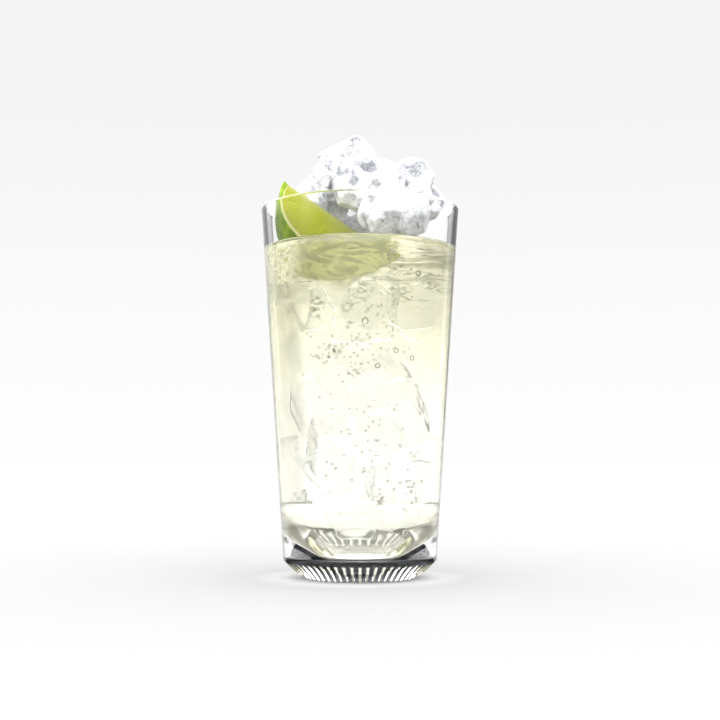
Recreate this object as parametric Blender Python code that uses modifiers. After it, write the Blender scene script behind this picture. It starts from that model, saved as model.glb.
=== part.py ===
"""A mule cocktail in a tall highball glass: heavy-based tapered glass, pale drink, lime wedge and a heap of
cracked ice that stands above the rim. Metres, +Z up, origin at the middle of the foot."""

import math

import bmesh
import bpy
import numpy as np
from mathutils import Matrix, Vector

MM = 0.001

# The glass, outside
GLASS_HEIGHT = 145 * MM
RIM_RADIUS = 39.6 * MM
HEEL_RADIUS = 30.0 * MM
HEEL_HEIGHT = 6.5 * MM
FOOT_RADIUS = 22.9 * MM
PUNT_RADIUS = 16.0 * MM
PUNT_DEPTH = 1.2 * MM
PUNT_BEND_RADIUS = 11.0 * MM
PUNT_BEND_DEPTH = 0.9 * MM

# The glass, inside: a flat floor, a cone round it and the tapered wall
LIP_THICKNESS = 1.9 * MM
LOW_WALL_THICKNESS = 2.7 * MM
CAVITY_FLOOR = 8.6 * MM
FLOOR_RADIUS = 10.0 * MM
CONE_SLOPE = 0.82

# The rounding of its edges
LIP_ROUND = 0.85 * MM
HEEL_ROUND = 1.2 * MM
FOOT_ROUND = 1.0 * MM
FLOOR_ROUND = 6.0 * MM
CONE_ROUND = 14.0 * MM
TURN_STEPS = 64
ARC_STEPS = 4

# The drink, and the gap that touching pieces keep
DRINK_LEVEL = 128.2 * MM
MENISCUS_RISE = 0.8 * MM
MENISCUS_REACH = 2.2 * MM
GAP = 0.3 * MM
POCKET_GAP = 0.4 * MM
WELD = 0.05 * MM

# The lime wedge: a sixth of a lime, cut from tip to tip
LIME_HALF_LENGTH = 24.0 * MM
LIME_RADIUS = 26.0 * MM
LIME_TIP_SHARPNESS = 0.09
LIME_TIP_POWER = 12
LIME_SEGMENTS = 40
LIME_RINGS = 18
LIME_CORE_CUT = 1.0 * MM
LIME_CENTRE = Vector((-8.2, -7.2, 140.5)) * MM
LIME_DIP = math.radians(35)
SEEN_FACE_ANGLE = math.radians(-46)
HIDDEN_FACE_ANGLE = math.radians(12)

# The ice heap: the lumps that show, each with its middle and size in millimetres, and a core under them
UNCUT_SIZE = 3
FACETS = 15
FACET_DISTANCE = (0.76, 0.98)
FACET_SCATTER = 0.16
GOLDEN_ANGLE = math.pi * (3 - math.sqrt(5))
SMALL_FACET = 0.02
MELTED_SHARE = 0.13
FARTHEST_CORNER = 1.04
UNEVEN = 0.08
SIZE_SEED = 7
CORE_SEED = 99
FIRST_SEED = 100
CORE_CENTRE = Vector((3.0, 4.0, 139.0)) * MM
CORE_RADII = (21 * MM, 19 * MM, 15 * MM)
LUMPS = {
    "peak": (-4.0, 0, 163.0, 11.2),
    "peak_left": (-8.5, 2, 156.5, 10.5),
    "left_shoulder": (-18.5, 5, 150.5, 10.5),
    "slope": (6.0, 1, 159.0, 11.5),
    "slope_right": (13.0, 3, 156.0, 10.0),
    "right": (21.0, 1, 155.5, 11.3),
    "right_low": (25.8, 2, 148.5, 9.8),
    "front": (-1.0, -12, 151.5, 9.5),
    "front_right": (10.0, -13, 150.0, 10.0),
    "front_far_right": (20.0, -11, 147.0, 9.5),
    "front_low": (8.5, -19.5, 139.5, 9.0),
    "front_right_low": (20.0, -17, 138.5, 8.5),
    "back_left": (-14.0, 14, 149.5, 10.5),
    "back": (-2.0, 14, 154.0, 11.0),
    "back_right": (10.0, 14, 150.5, 10.5),
    "back_far_right": (20.0, 14, 146.5, 10.0),
    "low_back_left": (-17.0, 21, 139.5, 9.0),
    "low_back": (-5.0, 25, 141.0, 9.0),
    "low_back_right": (8.0, 25, 140.5, 9.0),
    "low_right": (18.5, 20.5, 138.5, 8.5),
}


def clear_scene():
    for obj in list(bpy.data.objects):
        bpy.data.objects.remove(obj)


def new_collection(name):
    made = bpy.data.collections.new(name)
    bpy.context.scene.collection.children.link(made)
    return made


def new_object(name, mesh, collection):
    made = bpy.data.objects.new(name, mesh)
    collection.objects.link(made)
    return made


def mesh_from(bm, name):
    mesh = bpy.data.meshes.new(name)
    bm.to_mesh(mesh)
    bm.free()
    return mesh


def material(name, colour, roughness, transmission=0.0, ior=1.45):
    made = bpy.data.materials.new(name)
    made.use_nodes = True
    shader = made.node_tree.nodes["Principled BSDF"]
    shader.inputs["Base Color"].default_value = (*colour, 1)
    shader.inputs["Roughness"].default_value = roughness
    shader.inputs["Metallic"].default_value = 0
    shader.inputs["Transmission Weight"].default_value = transmission
    shader.inputs["IOR"].default_value = ior
    return made


def hide_helper(obj):
    obj.hide_render = True
    obj.display_type = "WIRE"


def slice_off(bm, normal, distance):
    """Cuts away what lies farther out than a plane, and closes the cut."""
    cut = bmesh.ops.bisect_plane(
        bm,
        geom=bm.verts[:] + bm.edges[:] + bm.faces[:],
        plane_co=normal * distance,
        plane_no=normal,
        clear_outer=True,
    )
    rim = [e for e in cut["geom_cut"] if isinstance(e, bmesh.types.BMEdge)]
    bmesh.ops.edgeloop_fill(bm, edges=rim)


def round_corner(before, corner, after, radius, steps=ARC_STEPS):
    """The points of an arc that rounds one corner of an outline in the radius and height plane."""
    to_before = (before - corner).normalized()
    to_after = (after - corner).normalized()
    half = to_before.angle(to_after) / 2
    reach = radius / math.tan(half)
    centre = corner + (to_before + to_after).normalized() * (radius / math.sin(half))
    start = corner + to_before * reach - centre
    end = corner + to_after * reach - centre
    turn = start.angle_signed(end)
    return [centre + Matrix.Rotation(-turn * i / steps, 2) @ start for i in range(steps + 1)]


def rounded_outline(corners):
    """The outline through (point, rounding) corners; a rounding of 0 keeps its corner."""
    points = []
    for i, (corner, radius) in enumerate(corners):
        if radius == 0:
            points.append(corner)
        else:
            points += round_corner(corners[i - 1][0], corner, corners[i + 1][0], radius)
    return points


def outer_radius(height):
    share = (height - HEEL_HEIGHT) / (GLASS_HEIGHT - HEEL_HEIGHT)
    return HEEL_RADIUS + (RIM_RADIUS - HEEL_RADIUS) * share


def inner_radius(height):
    share = height / GLASS_HEIGHT
    return outer_radius(height) - LOW_WALL_THICKNESS + (LOW_WALL_THICKNESS - LIP_THICKNESS) * share


def cone_top():
    """Where the floor's cone would meet the straight wall."""
    height = CAVITY_FLOOR
    for _ in range(20):
        height = CAVITY_FLOOR + (inner_radius(height) - FLOOR_RADIUS) * CONE_SLOPE
    return Vector((inner_radius(height), height))


def cavity_corners():
    """The corners of the glass's inside, from the middle of its floor to the wall."""
    return [
        (Vector((0, CAVITY_FLOOR)), 0),
        (Vector((FLOOR_RADIUS, CAVITY_FLOOR)), FLOOR_ROUND),
        (cone_top(), CONE_ROUND),
    ]


def turned(name, outline, collection):
    """An outline in the radius and height plane, turned round the Z axis."""
    bm = bmesh.new()
    verts = [bm.verts.new((p.x, 0, p.y)) for p in outline]
    for a, b in zip(verts, verts[1:]):
        bm.edges.new((a, b))
    made = new_object(name, mesh_from(bm, name), collection)
    screw = made.modifiers.new("Turn", "SCREW")
    screw.axis = "Z"
    screw.angle = math.tau
    screw.steps = screw.render_steps = TURN_STEPS
    screw.use_merge_vertices = True
    screw.merge_threshold = WELD
    screw.use_smooth_shade = True
    return made


def make_glass(collection):
    """Tapered wall, rounded lip, a thick base that a 45 degree bevel draws in to the foot."""
    top_inner = Vector((inner_radius(GLASS_HEIGHT), GLASS_HEIGHT))
    corners = cavity_corners() + [
        (top_inner, LIP_ROUND),
        (Vector((RIM_RADIUS, GLASS_HEIGHT)), LIP_ROUND),
        (Vector((HEEL_RADIUS, HEEL_HEIGHT)), HEEL_ROUND),
        (Vector((FOOT_RADIUS, 0)), FOOT_ROUND),
        (Vector((PUNT_RADIUS, 0)), 0),
        (Vector((PUNT_BEND_RADIUS, PUNT_BEND_DEPTH)), 0),
        (Vector((0, PUNT_DEPTH)), 0),
    ]
    return turned("glass", rounded_outline(corners), collection)


def inset(outline, distance):
    """Moves each point of a rising outline sideways, away from the wall that it follows."""
    moved = []
    for i, point in enumerate(outline):
        ahead = outline[min(i + 1, len(outline) - 1)] - outline[max(i - 1, 0)]
        inward = Vector((-ahead.y, ahead.x)).normalized()
        moved.append(Vector((max(point.x + inward.x * distance, 0), point.y + inward.y * distance)))
    moved[0].x = 0
    return moved


def make_drink(collection):
    """The liquid fills the cavity up to its level, and climbs a little at the wall."""
    edge_height = DRINK_LEVEL + MENISCUS_RISE
    wall_top = Vector((inner_radius(edge_height), edge_height))
    side = inset(rounded_outline(cavity_corners() + [(wall_top, 0)]), GAP)
    side[-1].y = edge_height
    edge = side[-1]
    surface = []
    for step in range(1, ARC_STEPS):
        share = step / (ARC_STEPS - 1)
        surface.append(Vector((edge.x - MENISCUS_REACH * share, DRINK_LEVEL + MENISCUS_RISE * (1 - share) ** 2)))
    outline = side + surface + [Vector((0, DRINK_LEVEL))]
    return turned("drink", list(reversed(outline)), collection)


def lime_mesh(name, grow):
    """A lime with drawn-out tips along X, cut by the wedge's two faces and pared along its core."""
    bm = bmesh.new()
    bmesh.ops.create_uvsphere(bm, u_segments=LIME_SEGMENTS, v_segments=LIME_RINGS, radius=1)
    for vert in bm.verts:
        along, across, up = vert.co.z, vert.co.x, vert.co.y
        tip = 1 + LIME_TIP_SHARPNESS * abs(along) ** LIME_TIP_POWER
        girth = LIME_RADIUS + grow
        vert.co = Vector((along * tip * (LIME_HALF_LENGTH + grow), across * girth, up * girth))
    for angle, side in ((SEEN_FACE_ANGLE, -1), (HIDDEN_FACE_ANGLE, 1)):
        outward = Vector((0, math.cos(angle), math.sin(angle))) * side
        slice_off(bm, outward, grow)
    middle = (SEEN_FACE_ANGLE + HIDDEN_FACE_ANGLE) / 2
    slice_off(bm, Vector((0, -math.sin(middle), math.cos(middle))), grow - LIME_CORE_CUT)
    bmesh.ops.remove_doubles(bm, verts=bm.verts, dist=WELD)
    bmesh.ops.recalc_face_normals(bm, faces=bm.faces)
    return mesh_from(bm, name)


def lay_lime(obj):
    """One tip stands above the rim at the left, the other is under the drink."""
    obj.location = LIME_CENTRE
    obj.rotation_euler = (0, LIME_DIP, 0)


def make_lime(collection):
    lime = new_object("lime_wedge", lime_mesh("lime_wedge", 0), collection)
    lay_lime(lime)
    lime.data.shade_smooth()
    lime.data.set_sharp_from_angle(angle=math.radians(35))
    return lime


def make_lime_pocket(cutters):
    """The room that the drink and the ice leave round the lime."""
    pocket = new_object("lime_pocket", lime_mesh("lime_pocket", POCKET_GAP), cutters)
    lay_lime(pocket)
    hide_helper(pocket)
    return pocket


def facet_planes(seed):
    """The cracked faces of one lump: outward directions spread evenly over a ball, and how far out each lies."""
    draw = np.random.default_rng(seed)
    index = np.arange(FACETS) + 0.5
    height = 1 - 2 * index / FACETS
    angle = index * GOLDEN_ANGLE + draw.uniform(0, math.tau)
    ring = np.sqrt(1 - height**2)
    normals = np.stack([ring * np.cos(angle), ring * np.sin(angle), height], 1)
    normals += draw.normal(0, FACET_SCATTER, normals.shape)
    normals /= np.linalg.norm(normals, axis=1)[:, None]
    return normals, draw.uniform(*FACET_DISTANCE, FACETS)


def make_lump(name, centre, radii, turn, seed, collection):
    """A cube that the facet planes cut down to a lump of cracked ice, with its edges and corners melted off."""
    bm = bmesh.new()
    bmesh.ops.create_cube(bm, size=UNCUT_SIZE)
    for normal, distance in zip(*facet_planes(seed)):
        slice_off(bm, Vector(normal), distance)
    melted = bmesh.new()
    for face in bm.faces:
        middle = face.calc_center_median()
        if face.calc_area() > SMALL_FACET:
            for vert in face.verts:
                corner = vert.co.lerp(middle, MELTED_SHARE)
                melted.verts.new(corner * min(1, FARTHEST_CORNER / corner.length))
    bm.free()
    hull = bmesh.ops.convex_hull(melted, input=melted.verts)
    inside = [v for v in hull["geom_interior"] if isinstance(v, bmesh.types.BMVert)]
    bmesh.ops.delete(melted, geom=inside, context="VERTS")
    stretch = Matrix.Diagonal((*radii, 1))
    melted.transform(Matrix.Translation(centre) @ Matrix.Rotation(turn, 4, "Z") @ stretch)
    return new_object(name, mesh_from(melted, name), collection)


def heap_lumps():
    """(name, centre, radii, turn) of every lump; no two are quite alike."""
    draw = np.random.default_rng(SIZE_SEED)
    lumps = []
    for name, (x, y, z, size) in LUMPS.items():
        radii = size * MM * draw.uniform(1 - UNEVEN, 1 + UNEVEN, 3)
        lumps.append((name, Vector((x, y, z)) * MM, list(radii), draw.uniform(0, math.tau)))
    return lumps


def evaluated_copy(obj, name):
    """The object's mesh with its modifiers applied."""
    bpy.context.view_layer.update()
    graph = bpy.context.evaluated_depsgraph_get()
    mesh = bpy.data.meshes.new_from_object(obj.evaluated_get(graph))
    mesh.name = name
    return mesh


def boolean(obj, operation, other):
    modifier = obj.modifiers.new(operation.title(), "BOOLEAN")
    modifier.operation = operation
    modifier.solver = "EXACT"
    if isinstance(other, bpy.types.Collection):
        modifier.operand_type = "COLLECTION"
        modifier.collection = other
    else:
        modifier.object = other


def drop_scraps(mesh):
    """Keeps the largest connected piece of a mesh."""
    bm = bmesh.new()
    bm.from_mesh(mesh)
    left = set(bm.verts)
    pieces = []
    while left:
        reached = {left.pop()}
        edge = list(reached)
        while edge:
            near = {e.other_vert(v) for v in edge for e in v.link_edges} - reached
            reached |= near
            edge = list(near)
        left -= reached
        pieces.append(reached)
    largest = max(pieces, key=len)
    scraps = [v for v in bm.verts if v not in largest]
    bmesh.ops.delete(bm, geom=scraps, context="VERTS")
    bm.to_mesh(mesh)
    bm.free()


def make_ice(collection, cutters, pocket):
    """Fuses the lumps to the core, and cuts the heap flat just above the drink and free of the lime."""
    lumps = new_collection("ice_lumps")
    for seed, (name, centre, radii, turn) in enumerate(heap_lumps(), FIRST_SEED):
        make_lump(name, centre, radii, turn, seed, lumps)
    heap = make_lump("ice_heap", CORE_CENTRE, CORE_RADII, 0, CORE_SEED, collection)
    boolean(heap, "UNION", lumps)
    bm = bmesh.new()
    bmesh.ops.create_cube(bm, size=1)
    below = new_object("below_surface", mesh_from(bm, "below_surface"), cutters)
    below.scale = (3 * RIM_RADIUS, 3 * RIM_RADIUS, DRINK_LEVEL)
    below.location.z = DRINK_LEVEL / 2 + GAP
    hide_helper(below)
    boolean(heap, "DIFFERENCE", below)
    boolean(heap, "DIFFERENCE", pocket)
    fused = evaluated_copy(heap, "ice_heap")
    heap.modifiers.clear()
    heap.data = fused
    for lump in list(lumps.objects):
        bpy.data.objects.remove(lump)
    bpy.data.collections.remove(lumps)
    bpy.data.objects.remove(below)
    drop_scraps(heap.data)
    return heap


def main():
    clear_scene()
    mule = new_collection("mule")
    cutters = new_collection("cutters")
    glass = make_glass(mule)
    glass.data.materials.append(material("glass", (0.96, 0.98, 0.98), 0.02, 1.0, 1.5))
    lime = make_lime(mule)
    lime.data.materials.append(material("lime", (0.50, 0.60, 0.12), 0.35))
    pocket = make_lime_pocket(cutters)
    drink = make_drink(mule)
    boolean(drink, "DIFFERENCE", pocket)
    drink.data.materials.append(material("drink", (0.93, 0.91, 0.76), 0.03, 0.9, 1.33))
    ice = make_ice(mule, cutters, pocket)
    ice.data.materials.append(material("ice", (0.95, 0.97, 0.99), 0.08, 0.9, 1.31))


main()
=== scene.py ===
import math

import bpy
import numpy as np
from mathutils import Euler, Matrix, Vector


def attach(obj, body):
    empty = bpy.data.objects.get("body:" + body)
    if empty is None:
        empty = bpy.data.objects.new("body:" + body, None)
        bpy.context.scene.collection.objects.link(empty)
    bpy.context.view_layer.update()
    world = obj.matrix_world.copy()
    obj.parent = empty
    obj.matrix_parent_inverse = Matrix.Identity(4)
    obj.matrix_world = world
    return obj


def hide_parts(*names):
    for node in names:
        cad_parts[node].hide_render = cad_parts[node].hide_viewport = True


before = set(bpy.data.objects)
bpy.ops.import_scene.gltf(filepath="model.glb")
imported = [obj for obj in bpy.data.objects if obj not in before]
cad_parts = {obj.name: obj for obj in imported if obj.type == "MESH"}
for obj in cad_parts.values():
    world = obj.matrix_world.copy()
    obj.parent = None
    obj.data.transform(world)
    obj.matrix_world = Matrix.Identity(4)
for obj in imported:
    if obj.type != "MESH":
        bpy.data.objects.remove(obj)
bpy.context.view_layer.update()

# The view: a little above the table and tilted up by a few degrees, so that the rim and the drink's surface
# are both seen from below. Distance and tilt follow from how the rim, the heel and the foot line up.
MM = 0.001
CAMERA_DISTANCE = 474.2 * MM
CAMERA_HEIGHT = 46.0 * MM
CAMERA_TILT = math.radians(4.69)
SENSOR_WIDTH = 36.0
FOCAL_LENGTH = 59.93
CLIP_START = 10 * MM
LIGHT_BOUNCES = 32
SEE_THROUGH_BOUNCES = 16
BRIGHTEST_BOUNCED_LIGHT = 6

scene = bpy.context.scene
camera_data = bpy.data.cameras.new("camera")
camera_data.sensor_width = SENSOR_WIDTH
camera_data.lens = FOCAL_LENGTH
camera_data.clip_start = CLIP_START
camera = bpy.data.objects.new("camera", camera_data)
camera.location = (0, -CAMERA_DISTANCE, CAMERA_HEIGHT)
camera.rotation_euler = (math.pi / 2 + CAMERA_TILT, 0, 0)
scene.collection.objects.link(camera)
scene.camera = camera
scene.view_settings.view_transform = "Standard"
for kind in ("max", "transmission", "glossy", "diffuse"):
    setattr(scene.cycles, kind + "_bounces", LIGHT_BOUNCES)
scene.cycles.transparent_max_bounces = SEE_THROUGH_BOUNCES
scene.cycles.sample_clamp_indirect = BRIGHTEST_BOUNCED_LIGHT

# The room: a photographer's bright backdrop with a grey card at each side of it, dark sides, and a soft light
# overhead that reaches down low in front. The camera itself sees a plain pale sweep. Levels are shares of
# ROOM_LEVEL, the stops are degrees round from straight behind the glass, and heights are sines.
HORIZON_COLOUR = (0.985, 0.985, 0.985, 1)
UPPER_COLOUR = (0.90, 0.90, 0.90, 1)
UPPER_HEIGHT = 0.36
ROOM_LEVEL = 3.0
BACKDROP_LEVEL = 0.40
LEFT_CARD_LEVEL = 0.36
RIGHT_CARD_LEVEL = 0.20
OVERHEAD_COLOUR = (1.95, 1.95, 1.95, 1)
ZENITH_COLOUR = (0.55, 0.55, 0.55, 1)
ZENITH = (0.5, 0.95)
SIDE_LEVEL = 0.10
BEHIND_CAMERA_LEVEL = 0.3
CARD_STOPS = [
    (-180, BEHIND_CAMERA_LEVEL), (-150, BEHIND_CAMERA_LEVEL),
    (-135, SIDE_LEVEL), (-58, SIDE_LEVEL),
    (-52, BACKDROP_LEVEL), (-49, BACKDROP_LEVEL),
    (-45, LEFT_CARD_LEVEL), (-24, LEFT_CARD_LEVEL),
    (-18, BACKDROP_LEVEL), (18, BACKDROP_LEVEL),
    (24, RIGHT_CARD_LEVEL), (45, RIGHT_CARD_LEVEL),
    (49, BACKDROP_LEVEL), (52, BACKDROP_LEVEL),
    (58, SIDE_LEVEL), (135, SIDE_LEVEL),
    (150, BEHIND_CAMERA_LEVEL), (180, BEHIND_CAMERA_LEVEL),
]
CARD_TOP = (0.30, 0.42)
FRONT_CARD_TOP = (0.07, 0.15)
TOWARDS_FRONT = (-0.25, -0.5)


class Wire:
    """A value between shader nodes. Arithmetic on it adds Math nodes to its tree."""

    def __init__(self, tree, socket):
        self.tree = tree
        self.socket = socket

    def __getitem__(self, output):
        """Another output of the same node."""
        return Wire(self.tree, self.socket.node.outputs[output])

    def math(self, operation, *values):
        return self.tree.add("ShaderNodeMath", {"operation": operation}, dict(enumerate(values)))

    def __add__(self, other):
        return self.math("ADD", self, other)

    def __radd__(self, other):
        return self.math("ADD", other, self)

    def __sub__(self, other):
        return self.math("SUBTRACT", self, other)

    def __rsub__(self, other):
        return self.math("SUBTRACT", other, self)

    def __mul__(self, other):
        return self.math("MULTIPLY", self, other)

    def __rmul__(self, other):
        return self.math("MULTIPLY", other, self)

    def __truediv__(self, other):
        return self.math("DIVIDE", self, other)

    def __rtruediv__(self, other):
        return self.math("DIVIDE", other, self)


class Tree:
    """A node tree with one way to add a node: its type, its settings, then its sockets' values or links."""

    def __init__(self, owner):
        owner.use_nodes = True
        self.nodes = owner.node_tree.nodes
        self.links = owner.node_tree.links
        self.nodes.clear()

    def add(self, kind, settings=None, sockets=None):
        node = self.nodes.new(kind)
        for setting, value in (settings or {}).items():
            if setting == "stops":
                self.set_stops(node.color_ramp, value)
            else:
                setattr(node, setting, value)
        for socket, value in (sockets or {}).items():
            if isinstance(value, Wire):
                self.links.new(value.socket, node.inputs[socket])
            else:
                node.inputs[socket].default_value = value
        return Wire(self, node.outputs[0]) if node.outputs else None

    @staticmethod
    def set_stops(ramp, stops):
        """Stops are (position, grey level) or (position, colour)."""
        while len(ramp.elements) < len(stops):
            ramp.elements.new(1)
        for element, (position, value) in zip(ramp.elements, stops):
            element.position = position
            element.color = (value, value, value, 1) if isinstance(value, float) else (*value, 1)

    def blend(self, share, colour_a, colour_b):
        """Colour a where share is 0, colour b where it is 1."""
        sockets = {"Factor": share, 6: colour_a, 7: colour_b}
        return self.add("ShaderNodeMix", {"data_type": "RGBA"}, sockets)[2]

    def ease(self, value, low, high):
        """0 below low, 1 above high, eased between."""
        return self.add("ShaderNodeMapRange", {"interpolation_type": "SMOOTHSTEP"},
                        {"Value": value, "From Min": low, "From Max": high})


room = Tree(bpy.data.worlds.new("room"))
scene.world = bpy.data.worlds["room"]
direction = room.add("ShaderNodeTexCoord")
split = room.add("ShaderNodeSeparateXYZ", None, {"Vector": direction["Generated"]})
turn = split["X"].math("ARCTAN2", split["X"], split["Y"]) / math.tau + 0.5
cards = room.add(
    "ShaderNodeValToRGB",
    {"stops": [(degrees / 360 + 0.5, level) for degrees, level in CARD_STOPS]},
    {"Fac": turn},
)
over_cards = room.ease(split["Z"], *CARD_TOP)
over_front = room.ease(split["Z"], *FRONT_CARD_TOP) * room.ease(split["Y"], *TOWARDS_FRONT)
overhead = split["Z"].math("MAXIMUM", over_cards, over_front)
above = room.blend(room.ease(split["Z"], *ZENITH), OVERHEAD_COLOUR, ZENITH_COLOUR)
lit = room.blend(overhead, cards["Color"], above)
shine = room.add("ShaderNodeBackground", None, {"Color": lit, "Strength": ROOM_LEVEL})
sweep = room.blend(room.ease(split["Z"], 0.0, UPPER_HEIGHT), HORIZON_COLOUR, UPPER_COLOUR)
plain = room.add("ShaderNodeBackground", None, {"Color": sweep, "Strength": 1.0})
seen = room.add("ShaderNodeLightPath")["Is Camera Ray"]
both = room.add("ShaderNodeMixShader", None, {0: seen, 1: shine, 2: plain})
room.add("ShaderNodeOutputWorld", None, {"Surface": both})

# The table: a large, plain, pale board. The rest is seen only in or through the glass: low black cards far
# behind it, tall ones close behind at both sides, a pale card that lies behind it, an open black ring round
# its front, and a small light under its foot. BACK_CARD has its corners in millimetres.
FLOOR_SIZE = 24.0
FLOOR_DROP = 0.3 * MM
FLOOR_COLOUR = (0.300, 0.300, 0.300, 1)
FLOOR_MOTTLE = (0.295, 0.295, 0.296, 1)
# Near the glass the floor is painted lighter, a painted light that takes out the shadow the glass casts.
FLOOR_PAINTED_LIGHT = (0.45, 0.45, 0.45, 1)
FLOOR_ROUGHNESS = 0.6
NEAR_GLASS = (46 * MM, 22 * MM)
UNDER_LIGHT_RADIUS = 20 * MM
UNDER_LIGHT_DROP = 0.15 * MM
UNDER_LIGHT_CORNERS = 64
UNDER_LIGHT_PAINT = ((1.0, 1.0, 1.0, 1), (0.98, 0.98, 0.98, 1))
UNDER_LIGHT_COLOUR = (1.0, 1.0, 0.99, 1)
UNDER_LIGHT = 1.3
BACK_CARD = ((-200, 41), (200, 41), (200, 230), (230, 700), (3600, 11000),
             (-3600, 11000), (-230, 700), (-200, 230))
BACK_CARD_LIFT = 0.1 * MM
BACK_CARD_FAR = ((0.62, 0.62, 0.61, 1), (0.60, 0.60, 0.59, 1))
BACK_CARD_NEAR = (0.54, 0.54, 0.53, 1)
BACK_CARD_FADE = (1500 * MM, 300 * MM)
RIM_CARD_REACH = (55 * MM, 112 * MM)
RIM_CARD_DISTANCE = 82 * MM
RIM_CARD_HEIGHTS = (20 * MM, 163 * MM)
FRONT_CARD_RADII = (25 * MM, 230 * MM)
FRONT_CARD_TURN = math.radians(118)
FRONT_CARD_LIFT = 0.2 * MM
FRONT_CARD_STEPS = 48
CARD_BLACK = (0.006, 0.006, 0.008, 1)
CARD_GREY = (0.012, 0.012, 0.014, 1)
CARD_ROUGHNESS = 0.9
LOW_CARD_DISTANCE = 700 * MM
LOW_CARD_FOOT = 3 * MM
LOW_CARD_HEIGHT = 29 * MM
LOW_CARD_SPAN = (math.radians(15.0), math.radians(50.0))


def flat_board(name, corners, colour, second_colour, roughness, near_colour=None, fade=NEAR_GLASS):
    """A flat polygon, painted with a faint mottle of two colours, and with a third one near the glass, which
    fades in between two distances."""
    near_colour = near_colour or second_colour
    mesh = bpy.data.meshes.new(name)
    mesh.from_pydata(corners, [], [tuple(range(len(corners)))])
    board = bpy.data.objects.new(name, mesh)
    scene.collection.objects.link(board)
    paint = bpy.data.materials.new(name + "_paint")
    tree = Tree(paint)
    place = tree.add("ShaderNodeTexCoord")["Object"]
    mottle = tree.add("ShaderNodeTexNoise", None, {"Vector": place, "Scale": 6.0, "Detail": 3.0})
    from_axis = tree.add("ShaderNodeVectorMath", {"operation": "LENGTH"}, {0: place})["Value"]
    painted = tree.blend(mottle, colour, second_colour)
    skin = tree.add("ShaderNodeBsdfPrincipled", None, {
        "Base Color": tree.blend(tree.ease(from_axis, *fade), painted, near_colour),
        "Roughness": roughness,
        "Specular IOR Level": 0.0,
    })
    tree.add("ShaderNodeOutputMaterial", None, {"Surface": skin})
    mesh.materials.append(paint)
    return board


def only_for_glass(card):
    """Hides a card from everything but what is seen in or through the glass."""
    card.visible_camera = False
    card.visible_diffuse = False
    card.visible_shadow = False
    return card


half = FLOOR_SIZE / 2
flat_board("floor", [(x * half, y * half, -FLOOR_DROP) for x, y in ((-1, -1), (1, -1), (1, 1), (-1, 1))],
           FLOOR_COLOUR, FLOOR_MOTTLE, FLOOR_ROUGHNESS, FLOOR_PAINTED_LIGHT)
for side, name in ((-1, "low_card_left"), (1, "low_card_right")):
    feet = [
        (side * LOW_CARD_DISTANCE * math.sin(a), LOW_CARD_DISTANCE * math.cos(a)) for a in LOW_CARD_SPAN
    ]
    corners = [(*feet[0], LOW_CARD_FOOT), (*feet[1], LOW_CARD_FOOT),
               (*feet[1], LOW_CARD_HEIGHT), (*feet[0], LOW_CARD_HEIGHT)]
    only_for_glass(flat_board(name, corners, CARD_BLACK, CARD_GREY, CARD_ROUGHNESS)).visible_glossy = False
for side, name in ((-1, "rim_card_left"), (1, "rim_card_right")):
    ends = [side * away for away in RIM_CARD_REACH]
    low, high = RIM_CARD_HEIGHTS
    corners = [(ends[0], RIM_CARD_DISTANCE, low), (ends[1], RIM_CARD_DISTANCE, low),
               (ends[1], RIM_CARD_DISTANCE, high), (ends[0], RIM_CARD_DISTANCE, high)]
    only_for_glass(flat_board(name, corners, CARD_BLACK, CARD_GREY, CARD_ROUGHNESS)).visible_glossy = False
back_card = [(x * MM, y * MM, BACK_CARD_LIFT) for x, y in BACK_CARD]
back_board = flat_board(
    "back_card", back_card, *BACK_CARD_FAR, CARD_ROUGHNESS, BACK_CARD_NEAR, BACK_CARD_FADE,
)
only_for_glass(back_board).visible_glossy = False
arc = [FRONT_CARD_TURN * (2 * i / FRONT_CARD_STEPS - 1) for i in range(FRONT_CARD_STEPS + 1)]
near, far = FRONT_CARD_RADII
front_card = [(far * math.sin(a), -far * math.cos(a), FRONT_CARD_LIFT) for a in arc]
front_card += [(near * math.sin(a), -near * math.cos(a), FRONT_CARD_LIFT) for a in arc[::-1]]
only_for_glass(flat_board("front_card", front_card, CARD_BLACK, CARD_GREY, CARD_ROUGHNESS))
ring = [i * math.tau / UNDER_LIGHT_CORNERS for i in range(UNDER_LIGHT_CORNERS)]
disc = [(UNDER_LIGHT_RADIUS * math.cos(a), UNDER_LIGHT_RADIUS * math.sin(a), -UNDER_LIGHT_DROP) for a in ring]
under_light = only_for_glass(flat_board("under_light", disc, *UNDER_LIGHT_PAINT, CARD_ROUGHNESS))
glow = under_light.active_material.node_tree.nodes["Principled BSDF"]
glow.inputs["Emission Color"].default_value = UNDER_LIGHT_COLOUR
glow.inputs["Emission Strength"].default_value = UNDER_LIGHT

# The glass: a pressed highball tumbler of clear soda glass, tapered, with a fire-polished lip and a thick
# base that a slanted, fluted band draws in to the foot. It is one turned surface. It is painted grey where it
# is seen edge-on, a painted shade for the dark lines at its edges, and near-black on its foot and slanted
# band, a painted shade for the dark that its thick base shows.
GLASS_HEIGHT = 145 * MM
RIM_RADIUS = 39.6 * MM
HEEL_RADIUS = 30.0 * MM
HEEL_HEIGHT = 6.5 * MM
FOOT_RADIUS = 22.9 * MM
PUNT_RADIUS = 16.0 * MM
PUNT_DEPTH = 1.2 * MM
PUNT_BEND = (11.0 * MM, 0.9 * MM)
PUNT_ROUND = 4 * MM
FOOT_RING_ROUND = 1.5 * MM
LIP_THICKNESS = 1.9 * MM
LOW_WALL_THICKNESS = 2.7 * MM
CAVITY_FLOOR = 8.6 * MM
FLOOR_RADIUS = 10.0 * MM
CONE_SLOPE = 0.82
LIP_ROUND = 0.85 * MM
HEEL_ROUND = 1.2 * MM
FOOT_ROUND = 1.0 * MM
FLOOR_ROUND = 6.0 * MM
CONE_ROUND = 14.0 * MM
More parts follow.
